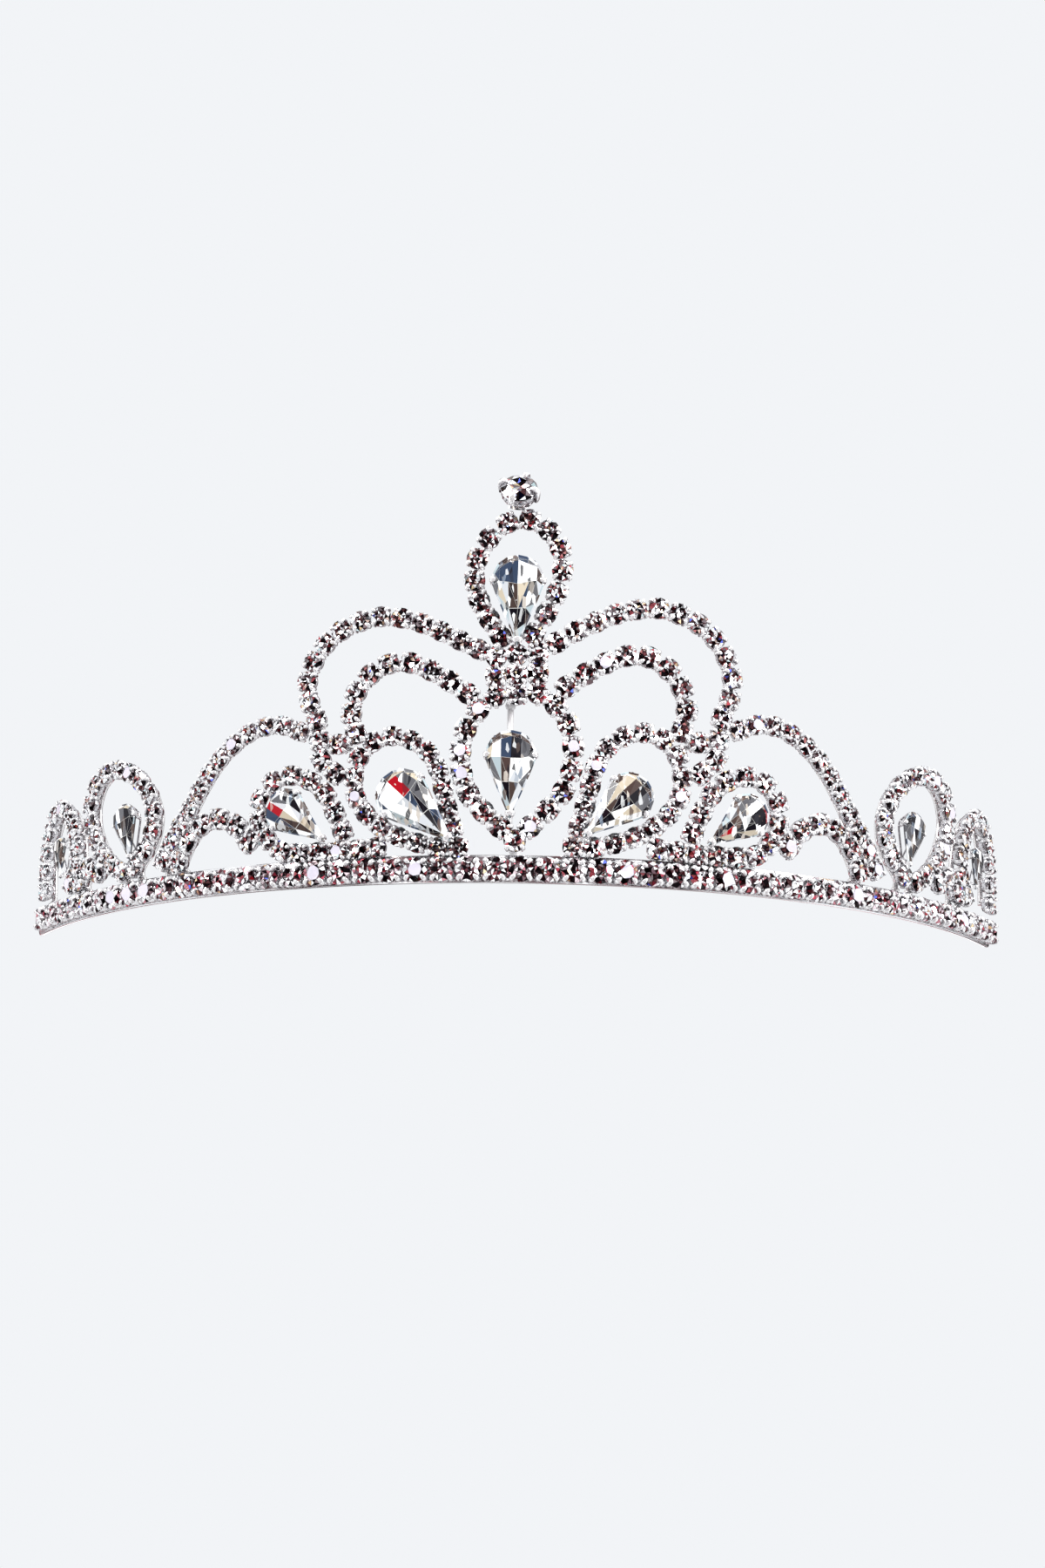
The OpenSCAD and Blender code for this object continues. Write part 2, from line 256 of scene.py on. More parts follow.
def round_gem(r, flash=False):
    """Foil backed chaton of girdle radius r, its girdle at z = 0. The facets inside the table's rim are
    the back's, as they look through the table, but a table that throws a flash of light hides them."""
    gem = Shape()
    n = 8
    step = math.pi / n
    rings = [ring(0.9 * r, -0.1 * r, 2 * n), ring(r, 0, 2 * n), ring(0.79 * r, 0.13 * r, n, step),
             ring(0.55 * r, 0.23 * r, n), ring(0.3 * r, 0.14 * r, n, step), [(0, 0, 0.07 * r)]]
    shake = [0, 0, 0.03, 0.03, 0.045, 0.06]
    verts, starts = [], []
    for points, amount in zip(rings, shake):
        starts.append(len(verts))
        verts += [tuple(c + rng.normal(0, amount * r) for c in p) for p in points]
    low, girdle, star, table, inner, culet = starts
    faces = [tuple(range(low + 2 * n - 1, low - 1, -1))]
    for k in range(2 * n):
        k1 = (k + 1) % (2 * n)
        faces.append((low + k, low + k1, girdle + k1, girdle + k))
    for i in range(n):
        j, h = (i + 1) % n, (i - 1) % n
        edge = girdle + 2 * i
        faces.append((edge, edge + 1, star + i))
        faces.append((edge + 1, girdle + (2 * i + 2) % (2 * n), star + i))
        faces.append((star + h, edge, table + i))
        faces.append((edge, star + i, table + i))
        faces.append((star + i, table + j, table + i))
        if not flash:
            faces.append((table + i, table + j, inner + i))
            faces.append((table + i, inner + i, inner + h))
            faces.append((inner + h, inner + i, culet))
    if flash:
        verts = verts[:inner]
        faces.append(tuple(range(table, table + n)))
    gem.add(verts, faces, [0] * (len(faces) - 1) + [1 if flash else 0])
    return gem


def pear_point(r, tip, t):
    """Point on a pear's outline, t from 0 at the tip through 0.5 at the head's top to 1 at the tip."""
    opening = math.acos(r / tip)
    side = math.sqrt(tip * tip - r * r)
    arc = r * (math.pi - opening)
    s = (0.5 - abs(0.5 - t)) * 2 * (side + arc)
    if s < side:
        k = s / side
        a = -math.pi / 2 + opening
        x, y = k * r * math.cos(a), -tip + k * (tip + r * math.sin(a))
    else:
        a = -math.pi / 2 + opening + (s - side) / r
        x, y = r * math.cos(a), r * math.sin(a)
    return (x if t <= 0.5 else -x), y


def lace(verts, outer, inner):
    """Triangles between two closed loops of corner numbers that start side by side and run the same way."""
    faces, i, j = [], 0, 0
    n, m = len(outer), len(inner)
    gap = lambda a, b: math.dist(verts[a], verts[b])
    while i < n or j < m:
        a, b = outer[i % n], inner[j % m]
        a1, b1 = outer[(i + 1) % n], inner[(j + 1) % m]
        if j == m or (i < n and gap(a1, b) < gap(a, b1)):
            faces.append((a, a1, b))
            i += 1
        else:
            faces.append((b1, b, a))
            j += 1
    return faces


def pear_gem(r, tip, row, lower, rim):
    """Foil backed pear. The round head of radius r is centred on the origin and the tip is at y = -tip.

    A row of wide facets crosses the head, and long ones run from there down to the tip. row, lower and
    rim name the painted reflections of the facets: row and rim start on the +X side, rim from the tip round
    the head."""
    gem = Shape()
    # Painted reflections on the narrow bevel round the outline.
    edge = ("gray", "pale", "slate", "pale", "brown", "teal", "pale")
    n = 20
    outline = [pear_point(r, tip, k / n) for k in range(n)]
    verts = [(x * s, y * s - (1 - s) * 0.5 * r, z * r) for s, z in ((1, 0), (0.95, -0.14), (0.93, 0.05))
             for x, y in outline]
    verts.append((0, -0.6 * r, -0.5 * r))
    faces = [(k, n + k, n + (k + 1) % n, (k + 1) % n) for k in range(n)]
    faces += [(n + k, 3 * n, n + (k + 1) % n) for k in range(n)]
    faces += [(k, (k + 1) % n, 2 * n + (k + 1) % n, 2 * n + k) for k in range(n)]
    shades = ["gray"] * 2 * n + [edge[k % len(edge)] for k in range(n)]
    # The net of large facets, as shares of r: five corners above the head's middle, five below it, three
    # further down and the one where the long facets end.
    net = len(verts)
    columns = [0.72, 0.36, 0, -0.36, -0.72]
    net_points = [(x, 0.66 - 0.5 * x * x, 0.3 - 0.1 * abs(x)) for x in columns]
    net_points += [(x, -0.2 + 0.15 * x * x, 0.36 - 0.16 * abs(x)) for x in columns]
    net_points += [(x, -1.15, 0.27 - 0.2 * abs(x)) for x in (0.3, 0, -0.3)] + [(0, 0.55 - tip / r, 0.13)]
    for x, y, z in net_points:
        dx, dy, dz = rng.normal(0, 0.03, 3)
        verts.append(((x + dx) * r, (y + dy) * r, (z + dz / 2) * r))
    top, mid, long, end = net, net + 5, net + 10, net + 13
    for k in range(4):
        faces.append((mid + k, mid + k + 1, top + k + 1, top + k))
        shades.append(row[k])
    faces += [(mid, long, mid + 1), (mid + 3, long + 2, mid + 4), (mid + 1, long, long + 1),
              (mid + 1, long + 1, mid + 2), (mid + 2, long + 1, mid + 3), (mid + 3, long + 1, long + 2),
              (long, end, long + 1), (long + 1, end, long + 2)]
    shades += lower
    inner = [end, long, mid, top, top + 1, top + 2, top + 3, top + 4, mid + 4, long + 2]
    border = lace(verts, list(range(2 * n, 3 * n)), inner)
    faces += border
    shades += [rim[i * len(rim) // len(border)] for i in range(len(border))]
    order = list(PAINTED_REFLECTIONS)
    gem.add(verts, faces, chance=[(order.index(name) + 0.5) / len(order) for name in shades])
    return gem


# ---- metal work ----
# Material numbers of a setting: walls and rails, the outer side of the prongs, painted paler than the
# walls as a highlight, and the bowl inside, painted dark as shade.
METAL, HIGHLIGHT, BOWL_SHADE = 0, 1, 2


def claw(shape, radius, foot, top, reach, width, thick):
    """Prong on the +X side of a cup: stands on the wall at radius, bends over the stone's edge."""
    path = [(radius + 0.2 * thick, foot), (radius + 0.5 * thick, (foot + top) / 2),
            (radius + 0.35 * thick, top - 0.5 * thick),
            (radius - 0.25 * reach, top + 0.15 * thick), (radius - 0.7 * reach, top + 0.1 * thick),
            (radius - reach, top - 0.25 * thick)]
    half = [0.6, 0.52, 0.5, 0.48, 0.4, 0.2]
    verts = []
    for i, ((x, z), h) in enumerate(zip(path, half)):
        x0, z0 = path[max(i - 1, 0)]
        x1, z1 = path[min(i + 1, len(path) - 1)]
        d = math.hypot(x1 - x0, z1 - z0)
        nx, nz = (z1 - z0) / d * thick / 2, -(x1 - x0) / d * thick / 2
        for side, out in ((-1, 0.4), (-0.6, 1), (0.6, 1), (1, 0.4), (1, -1), (-1, -1)):
            verts.append((x + nx * out, side * h * width, z + nz * out))
    n = 6
    faces = [(i * n + k, i * n + (k + 1) % n, (i + 1) * n + (k + 1) % n, (i + 1) * n + k)
             for i in range(len(path) - 1) for k in range(n)]
    # Painted highlight on the prong's outer side and tip end; the other sides keep the wall's metal.
    slots = [HIGHLIGHT if k < 3 else METAL for i in range(len(path) - 1) for k in range(n)]
    faces += [tuple(reversed(range(n))), tuple((len(path) - 1) * n + k for k in range(n))]
    shape.add(verts, faces, slots + [METAL, HIGHLIGHT], smooth=True)


def round_setting(r):
    """Cup of outer radius r standing on z = 0, with four prongs over a stone whose girdle is a little
    above z = r."""
    cup = Shape()
    prongs = 4
    wall = [(0, 0), (0.55, 0), (0.66, 0.05), (0.93, 0.5), (0.95, 0.6), (0.95, 0.84), (0.93, 0.89),
            (0.88, 0.89)]
    bowl = [(0.88, 0.89), (0.84, 0.82), (0.3, 0.3), (0, 0.28)]
    # The bowl under the stone takes the painted shade.
    for profile, slot in ((wall, METAL), (bowl, BOWL_SHADE)):
        lathe(cup, [(a * r, z * r) for a, z in profile], 20, slot)
    for k in range(prongs):
        prong = Shape()
        claw(prong, 0.97 * r, 0.5 * r, 1.22 * r, 0.3 * r, 0.34 * r, 0.19 * r)
        turn = Matrix.Rotation(2 * math.pi * (k + 0.5) / prongs, 4, "Z")
        cup.add_shape(prong, turn, fresh=False)
    return cup


def pear_setting(r, tip, girdle):
    """Open backed pear setting: a base frame, a bearing rail under the girdle, posts and claws."""
    out = Shape()
    count = 44
    # The base frame and the bearing rail: share of the outline, height, radius of the wire.
    for scale, z, rad in ((0.72, 0.25 * MM, 0.25 * MM), (0.93, girdle - 0.28 * MM, 0.16 * MM)):
        outline = [pear_point(r, tip, k / count) for k in range(count)]
        path = [(x * scale, y * scale, z) for x, y in outline]
        path += path[:1]
        sweep(out, path, [(0, 0, 1)] * len(path), rad, 8)
    for t in (0.02, 0.3, 0.42, 0.58, 0.7, 0.98):
        x, y = pear_point(r, tip, t)
        stops = (0.72, 0.2 * MM), (0.86, 0.55 * girdle), (0.96, girdle - 0.1 * MM)
        post = [(x * s, y * s, z) for s, z in stops]
        sweep(out, post, [(-y, x, 0)] * 3, 0.24 * MM, 8)
    for t in (0.03, 0.32, 0.68, 0.97):
        x, y = pear_point(r, tip, t)
        x1, y1 = pear_point(r, tip, t + 0.01)
        x0, y0 = pear_point(r, tip, t - 0.01)
        heading = math.atan2(-(x1 - x0), y1 - y0)
        prong = Shape()
        claw(prong, 0.0, -0.9 * MM, 0.42 * MM, 0.75 * MM, 0.95 * MM, 0.34 * MM)
        spot = Matrix.Translation((x, y, girdle)) @ Matrix.Rotation(heading, 4, "Z")
        out.add_shape(prong, spot, fresh=False)
    return out


# ---- materials ----
def steps(nodes, stops):
    """Colour ramp without blending, from (position, colour) pairs."""
    ramp = nodes.new("ShaderNodeValToRGB")
    ramp.color_ramp.interpolation = "CONSTANT"
    for i, (at, colour) in enumerate(stops):
        stop = ramp.color_ramp.elements[i] if i < 2 else ramp.color_ramp.elements.new(at)
        stop.position = at
        stop.color = (*colour, 1)
    return ramp


def new_material(name):
    """New material, as (material, nodes, links, shader)."""
    mat = bpy.data.materials.new(name)
    mat.use_nodes = True
    nodes, links = mat.node_tree.nodes, mat.node_tree.links
    return mat, nodes, links, nodes["Principled BSDF"]


def silver(name, colour, roughness, grain, scratch, metallic=1.0):
    """Rhodium plated metal: roughness, tint and bump vary with a fine grain of the given scale."""
    mat, nodes, links, shader = new_material(name)
    shader.inputs["Base Color"].default_value = (*colour, 1)
    shader.inputs["Metallic"].default_value = metallic
    place = nodes.new("ShaderNodeTexCoord")
    noise = nodes.new("ShaderNodeTexNoise")
    noise.inputs["Scale"].default_value = grain
    noise.inputs["Detail"].default_value = 4.0
    spread = nodes.new("ShaderNodeMapRange")
    spread.inputs["To Min"].default_value = roughness * 0.6
    spread.inputs["To Max"].default_value = roughness * 1.7
    tint = nodes.new("ShaderNodeMixRGB")
    tint.inputs["Color1"].default_value = (*colour, 1)
    tint.inputs["Color2"].default_value = (*(c * 0.82 for c in colour), 1)
    bump = nodes.new("ShaderNodeBump")
    bump.inputs["Strength"].default_value = scratch
    bump.inputs["Distance"].default_value = 0.02 * MM
    links.new(place.outputs["Object"], noise.inputs["Vector"])
    links.new(noise.outputs["Fac"], spread.inputs["Value"])
    links.new(noise.outputs["Fac"], tint.inputs["Fac"])
    links.new(noise.outputs["Fac"], bump.inputs["Height"])
    links.new(spread.outputs["Result"], shader.inputs["Roughness"])
    links.new(tint.outputs["Color"], shader.inputs["Base Color"])
    links.new(bump.outputs["Normal"], shader.inputs["Normal"])
    return mat


def seams(nodes, links, colour, width):
    """Colours the edges of three sided facets. The facets' own colour goes into Color2 of the node that is
    returned."""
    inset = nodes.new("ShaderNodeAttribute")
    inset.attribute_name = "inset"
    axes = nodes.new("ShaderNodeSeparateXYZ")
    least = [nodes.new("ShaderNodeMath") for _ in range(2)]
    for node in least:
        node.operation = "MINIMUM"
    edge = nodes.new("ShaderNodeMapRange")
    edge.inputs["From Min"].default_value = width / 2
    edge.inputs["From Max"].default_value = width
    mix = nodes.new("ShaderNodeMixRGB")
    mix.inputs["Color1"].default_value = (*colour, 1)
    links.new(inset.outputs["Vector"], axes.inputs["Vector"])
    links.new(axes.outputs["X"], least[0].inputs[0])
    links.new(axes.outputs["Y"], least[0].inputs[1])
    links.new(least[0].outputs["Value"], least[1].inputs[0])
    links.new(axes.outputs["Z"], least[1].inputs[1])
    links.new(least[1].outputs["Value"], edge.inputs["Value"])
    links.new(edge.outputs["Result"], mix.inputs["Fac"])
    return mix


def pear_glass():
    """Foil backed glass with large facets, each painted with the reflection it shows, broken by splinters of
    other painted reflections. Pale lines painted along the facets' edges stand for light caught there.
    """
    mat, nodes, links, shader = new_material("pear_glass")
    shader.inputs["Metallic"].default_value = 0.1
    shader.inputs["Roughness"].default_value = 0.04
    shader.inputs["Specular IOR Level"].default_value = 0.15
    shader.inputs["Coat Weight"].default_value = 0.1
    shader.inputs["Coat Roughness"].default_value = 0.01
    pick = nodes.new("ShaderNodeAttribute")
    pick.attribute_name = "chance"
    ramp = steps(nodes, [(i / len(PAINTED_REFLECTIONS), c) for i, c in enumerate(PAINTED_REFLECTIONS.values())])
    place = nodes.new("ShaderNodeTexCoord")
    stretch = nodes.new("ShaderNodeMapping")
    stretch.inputs["Scale"].default_value = (1.0, 1.0, 0.35)
    cells = nodes.new("ShaderNodeTexVoronoi")
    cells.inputs["Scale"].default_value = 1700
    split = nodes.new("ShaderNodeSeparateColor")
    # Painted splinters of other reflections, in some of the cells inside each facet.
    splinter = steps(nodes, ((0.0, (0.015, 0.015, 0.02)), (0.27, (0.1, 0.07, 0.06)),
                             (0.42, (0.16, 0.2, 0.26)), (0.52, (0.5, 0.45, 0.4)),
                             (0.74, (0.95, 0.97, 0.98))))
    amount = steps(nodes, ((0.0, (0.0, 0.0, 0.0)), (0.7, (0.45, 0.45, 0.45)), (0.85, (0.9, 0.9, 0.9))))
    tint = nodes.new("ShaderNodeMixRGB")
    links.new(pick.outputs["Fac"], ramp.inputs["Fac"])
    links.new(place.outputs["Object"], stretch.inputs["Vector"])
    links.new(stretch.outputs["Vector"], cells.inputs["Vector"])
    links.new(cells.outputs["Color"], split.inputs["Color"])
    links.new(split.outputs["Red"], splinter.inputs["Fac"])
    links.new(split.outputs["Green"], amount.inputs["Fac"])
    links.new(amount.outputs["Color"], tint.inputs["Fac"])
    links.new(ramp.outputs["Color"], tint.inputs["Color1"])
    links.new(splinter.outputs["Color"], tint.inputs["Color2"])
    # Painted highlight: pale lines along the facets' edges.
    light = seams(nodes, links, (0.5, 0.5, 0.48), 0.016)
    links.new(tint.outputs["Color"], light.inputs["Color2"])
    links.new(light.outputs["Color"], shader.inputs["Base Color"])
    return mat


def chaton(name, reflection_tints):
    """Foil backed glass: mirror facets that reflect the studio, each tinted with a painted flash of its own,
    mostly white, some grey, dark, red, amber, teal and blue, and dark seams between them.
    """
    mat, nodes, links, shader = new_material(name)
    shader.inputs["Metallic"].default_value = 1.0
    shader.inputs["Roughness"].default_value = 0.03
    shader.inputs["Coat Weight"].default_value = 0.6
    shader.inputs["Coat Roughness"].default_value = 0.02
    pick = nodes.new("ShaderNodeAttribute")
    pick.attribute_name = "chance"
    ramp = steps(nodes, reflection_tints)
    links.new(pick.outputs["Fac"], ramp.inputs["Fac"])
    dark = seams(nodes, links, (0.03, 0.02, 0.02), 0.06)
    links.new(ramp.outputs["Color"], dark.inputs["Color2"])
    links.new(dark.outputs["Color"], shader.inputs["Base Color"])
    return mat


# Painted flashes of the round stones and the band's stones, tinted onto their mirror facets.
MAT_CHATON = chaton("chaton", (
    (0.0, (0.94, 0.95, 0.97)), (0.6, (0.62, 0.6, 0.62)), (0.7, (0.55, 0.4, 0.34)),
    (0.76, (0.12, 0.07, 0.08)), (0.86, (0.42, 0.14, 0.14)), (0.93, (0.5, 0.04, 0.06)),
    (0.95, (0.93, 0.72, 0.45)), (0.97, (0.55, 0.68, 0.7)), (0.992, (0.12, 0.18, 0.9))))
MAT_BAND = chaton("band_chaton", (
    (0.0, (0.96, 0.96, 0.97)), (0.62, (0.7, 0.56, 0.6)), (0.76, (0.12, 0.06, 0.08)),
    (0.83, (0.5, 0.18, 0.22)), (0.92, (0.5, 0.03, 0.07)), (0.97, (0.93, 0.72, 0.45)),
    (0.98, (0.94, 0.95, 0.98)), (0.996, (0.12, 0.18, 0.9))))
# Painted highlight: a pale flat table stands for the flash of light a stone throws.
MAT_FLASH = silver("table_flash", (0.62, 0.59, 0.68), 0.15, 1400, 0.1, metallic=0.1)
MAT_CUP = silver("rhodium_cups", (0.6, 0.59, 0.61), 0.04, 900, 0.2)
# Painted highlight: a pale, half diffuse copy of the metal for the prongs' outer sides.
MAT_TIP_HIGHLIGHT = silver("prong_tips_painted_highlight", (0.97, 0.97, 0.98), 0.1, 900, 0.2, metallic=0.65)
# Painted shade: a dark copy of the metal for the bowl inside each cup.
MAT_BOWL_SHADE = silver("cup_insides_painted_shade", (0.12, 0.1, 0.11), 0.3, 900, 0.2)
SETTING = [MAT_CUP, MAT_TIP_HIGHLIGHT, MAT_BOWL_SHADE]
MAT_WIRE = silver("rhodium_wire", (0.88, 0.87, 0.87), 0.2, 500, 0.4)
MAT_ROD = silver("rhodium_rod", (0.97, 0.97, 0.98), 0.45, 300, 0.05, metallic=0.5)
MAT_STRIP = silver("rhodium_strip", (0.92, 0.92, 0.93), 0.1, 250, 0.3)
MAT_PEAR = pear_glass()

# ---- rows of round stones ----
CHAINS = [n.removesuffix("_cups") for n in sorted(frame["nodes"])
          if n.endswith("_cups") and "pear" not in n]
JOINT_SWELL = 1.08           # the joint's cups are this much larger than their spacing asks for
FLASH_SHARE = 0.09           # share of the stones whose table throws a flash of light


def cup_radius(node):
    """Half the usual distance between neighbours, so that the cups touch as cup chain does."""
    flat = [np.array((a * FACE_R, h)) for a, h in map(place_of, solids(node))]
    if len(flat) < 2:
        return np.ptp(solids(node)[0][:, 2]) / 2
    near = [min(np.linalg.norm(p - q) for q in flat if q is not p) for p in flat]
    return 0.51 * float(np.median(near))


def seats_of(chain):
    """Seats of a chain's cups with the chain's heading at each: (matrix, heading)."""
    out = []
    for run in chains(chain + "_cups"):
        flat = np.array([(a * FACE_R, h) for a, h in run])
        step = np.gradient(flat, axis=0) if len(run) > 1 else np.array([(1.0, 0.0)])
        for (a, h), d in zip(run, step):
            out.append((seat_matrix(a, h), math.atan2(d[1], d[0])))
    return out


def build_chain(chain):
    """Cups and stones of one chain. Each stone is turned and tilted a little at random."""
    r = cup_radius(chain + "_cups")
    r *= JOINT_SWELL if chain == "joint" else 1
    cup = round_setting(r)
    cups, gems = Shape(), Shape()
    for seat, heading in seats_of(chain):
        cups.add_shape(cup, seat @ Matrix.Rotation(heading, 4, "Z"))
        tilt = (Matrix.Rotation(rng.normal(0, 0.05), 4, "X")
                @ Matrix.Rotation(rng.normal(0, 0.05), 4, "Y"))
        lift = Matrix.Translation((0, 0, 1.02 * r))
        gem = round_gem(0.98 * r, flash=rng.random() < FLASH_SHARE)
        turn = Matrix.Rotation(rng.uniform(0, 6.28), 4, "Z")
        gems.add_shape(gem, seat @ lift @ tilt @ turn)
    cups.piece(chain + "_cups_fine", SETTING, chain + "_cups", "setting")
    glass = MAT_BAND if chain == "band" else MAT_CHATON
    gems.piece(chain + "_stones_fine", [glass, MAT_FLASH], chain + "_stones", "crystal")


for chain in CHAINS:
    build_chain(chain)


def build_top():
    """The top stone leans back, so its foot is worked out from the lowest point of its cup."""
    low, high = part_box("top_cup")
    r = (high.x - low.x) / 2
    lean, stand_off = math.radians(30), 1.0 * MM
    foot = low.z + r * math.cos(lean) - 0.6 * r * math.sin(lean)
    seat = seat_matrix(0, foot) @ Matrix.Translation((0, 0, stand_off))
    seat = seat @ Matrix.Rotation(-lean, 4, "X")
    cup, gem = Shape(), Shape()
    cup.add_shape(round_setting(0.97 * r), seat @ Matrix.Rotation(0.4, 4, "Z"))
    gem.add_shape(round_gem(0.94 * r), seat @ Matrix.Translation((0, 0, r)))
    cup.piece("top_cup_fine", SETTING, "top_cup", "setting")
    gem.piece("top_stone_fine", [MAT_CHATON], "top_stone", "crystal")


build_top()

# ---- pears ----
PEAR_R, PEAR_TIP = 4.15 * MM, 10.8 * MM      # radius of a full size head, and from its centre to the tip
CAD_LENGTH, CAD_TIP = 13 * MM, 9 * MM        # a full size CAD stone's length, and from its head to its tip
GIRDLE = 3.0 * MM                            # height of the stone's widest part over its seat


def pear_seats(node):
    """Seats of the pears in a node: (matrix that puts a full size pear on it, size)."""
    out = []
    for p in solids(node):
        mean = p.mean(0)
        angle = math.atan2(mean[0], AXIS_Y - mean[1])
        u = p[:, 0] * math.cos(angle) + (p[:, 1] - AXIS_Y) * math.sin(angle)
        flat = np.stack([u, p[:, 2]], 1)
        middle = flat.mean(0)
        tip = flat[np.argmax(np.linalg.norm(flat - middle, axis=1))]
        axis = (middle - tip) / np.linalg.norm(middle - tip)
        length = ((flat - tip) @ axis).max()
        size = length / CAD_LENGTH
        head = tip + axis * CAD_TIP * size
        seat = seat_matrix(angle, 0) @ Matrix.Translation((head[0], head[1], 0))
        out.append((seat @ Matrix.Rotation(math.atan2(-axis[0], axis[1]), 4, "Z"), size))
    return out


# Painted reflections of each pear's facets: the row from its right, the lower facets, and the rim from its
# tip.
LOOKS = {
    "crown": ("white white slate slate", "black pale slate beige brown brown black black",
              "teal black teal gray pale brown gray gray slate gray brown gray slate gray beige "
              "teal teal pale slate"),
    "centre": ("gray black slate white", "white teal pale white brown brown brown black",
               "white pale gray white gray black brown brown beige brown brown beige black gray "
               "white teal beige"),
    "left_inner": ("gray red white white", "gray white black slate pale white black pale",
                   "white slate white black beige gray beige brown black slate slate white teal "
                   "pale black beige"),
    "right_inner": ("gray black brown beige", "beige beige white black black brown black black",
                    "beige white beige white black slate brown black beige white brown black beige "
                    "gray beige"),
    "left_middle": ("black gray red slate", "black slate pale white beige brown beige brown",
                    "pale black gray pale black brown pale black gray slate white brown black "
                    "white brown"),
    "right_middle": ("black black white gray", "black gray black black gray brown red black",
                     "black beige black beige white red red black pale white brown gray pale teal "
                     "black gray"),
    "outer": ("black gray white black", "black brown gray black black white black brown",
              "pale brown black gray beige white slate black gray pale brown"),
}


def look_of(node, size):
    """Name of the look that a pear has, by its node and its size."""
    side = node.split("_")[0]
    if side in LOOKS:
        return side
    kind = "inner" if size > 0.95 else "middle" if size > 0.75 else "outer"
    return side + "_" + kind if side + "_" + kind in LOOKS else "outer"


# How far a pear is soldered from its drawn place, sideways and towards its tip, and how its size differs.
SLIDE = {"centre": (-0.8 * MM, -0.3 * MM, 0.96), "left_inner": (0, 1.0 * MM, 1.04),
         "right_inner": (0, 1.4 * MM, 0.94), "right_middle": (0, 0.7 * MM, 1)}


def build_pears(cup_node, stone_node):
    """Settings and stones of the pears in a pair of nodes."""
    cups, gems = Shape(), Shape()
    for seat, size in pear_seats(stone_node):
        look = look_of(stone_node, size)
        aside, slide, grow = SLIDE.get(look, (0, 0, 1))
        full = size * grow
        scale = Matrix.Translation((aside, -slide, 0)) @ Matrix.Diagonal((full, full, full, 1))
        row, lower, rim = (names.split() for names in LOOKS[look])
        gem = pear_gem(PEAR_R, PEAR_TIP, row, lower, rim)
        cups.add_shape(pear_setting(PEAR_R, PEAR_TIP, GIRDLE), seat @ scale)
        gems.add_shape(gem, seat @ scale @ Matrix.Translation((0, 0, GIRDLE)), fresh=False)
    cups.piece(cup_node + "_fine", SETTING, cup_node, "setting")
    gems.piece(stone_node + "_fine", [MAT_PEAR], stone_node, "crystal")


for pear in ("crown", "centre"):
    build_pears(pear + "_pear_cup", pear + "_pear_stone")
for pear in ("left", "right"):
    build_pears(pear + "_pear_cups", pear + "_pear_stones")


# ---- wires, strip and rod ----
def solder_bead(shape, place, r):
    """Drop of solder, turned about the place's Y axis."""
    bead = Shape()
    belly = [(r * math.cos(a), 0.8 * r * math.sin(a)) for a in (-1.0, -0.5, 0, 0.5, 1.0)]
    lathe(bead, [(0, -r)] + belly + [(0, 0.8 * r)], 12)
    shape.add_shape(bead, place @ Matrix.Rotation(math.pi / 2, 4, "X"))


def in_columns(seats, count):
    """Splits the joint's seats into upright columns."""
    across = sorted(seats)
    return [sorted(across[i:i + count], key=lambda q: q[1]) for i in range(0, len(across), count)]


def build_wires(node, names):
    """Backing wires that follow the cups, with a solder bead where one stands on the strip. A lone cup
    gets a short wire that leans like the bridge it is part of."""
    shape = Shape()
    middle = FACE_R - WIRE_R
    for name in names:
        runs = chains(name + "_cups")
        if name == "joint":
            runs = in_columns(runs[0], 3)
        for run in runs:
            points = list(run)
            if len(run) == 1:
                angle, height = run[0]
                half, fall, rise = 1.9 * MM, 0.7 * MM, 0.5 * MM
                step = math.copysign(half / FACE_R, angle)
                points = [(angle - step, height - fall), (angle, height), (angle + step, height + rise)]
            for end in (0, -1):
                angle, height = points[end]
                if height < FOOT_BELOW:
                    points.insert(0 if end == 0 else len(points), (angle, STRIP_TOP - 0.1 * MM))
                    bead = seat_matrix(angle, STRIP_TOP + 0.1 * MM, middle)
                    solder_bead(shape, bead, 0.75 * MM)
            path = smooth_path([seat_matrix(angle, height, middle).translation
                                for angle, height in points])
            normals = [(p[0], p[1] - AXIS_Y, 0) for p in path]
            sweep(shape, path, normals, WIRE_R, 10)
    shape.piece(node + "_fine", [MAT_WIRE], node, "setting")


build_wires("centre_wires", ["crown_loop", "centre_drop", "joint"])
for side in ("left_", "right_"):
    build_wires(side + "arc_wires", [side + "upper_arc", side + "inner_arc"])
    build_wires(side + "loop_wires", [side + n for n in (
        "inner_loop", "middle_loop", "outer_arc", "small_arch", "outer_loop", "end_loop")])


END_BLOCK = 2.4 * MM         # length of the strip from a pin hole to the plain part


def strip_end(low, high):
    """Rings round the pin hole: the hole and the strip's rounded end, as (along, up) from the hole.

    The last points of the border are on the straight edge where the strip goes on."""
    back, front, corner = END_BLOCK, 1.7 * MM, 1.3 * MM
    start = math.atan2(high, -back)
    stop = math.atan2(low, -back)
    # Directions from the hole: round the strip's end, then from low to high along the straight edge.
    turns = list(np.linspace(start, stop, 29))
    levels = [low + (high - low) * k / 4 for k in (1, 2, 3)]
    turns += [math.atan2(v, -back) for v in levels]
    border = []
    for turn in turns:
        dx, dy = math.cos(turn), math.sin(turn)
        t = min((front if dx > 0 else back) / max(abs(dx), 1e-9),
                (high if dy > 0 else -low) / max(abs(dy), 1e-9))
        cx, cy = front - corner, (high - corner if dy > 0 else low + corner)
        if t * dx > cx and abs(t * dy) > abs(cy):
            near = dx * cx + dy * cy
            t = near + math.sqrt(near * near - cx * cx - cy * cy + corner * corner)
        border.append((t * dx, t * dy))
    hole = [(PIN_HOLE_R * math.cos(a), PIN_HOLE_R * math.sin(a)) for a in turns]
    return hole, border


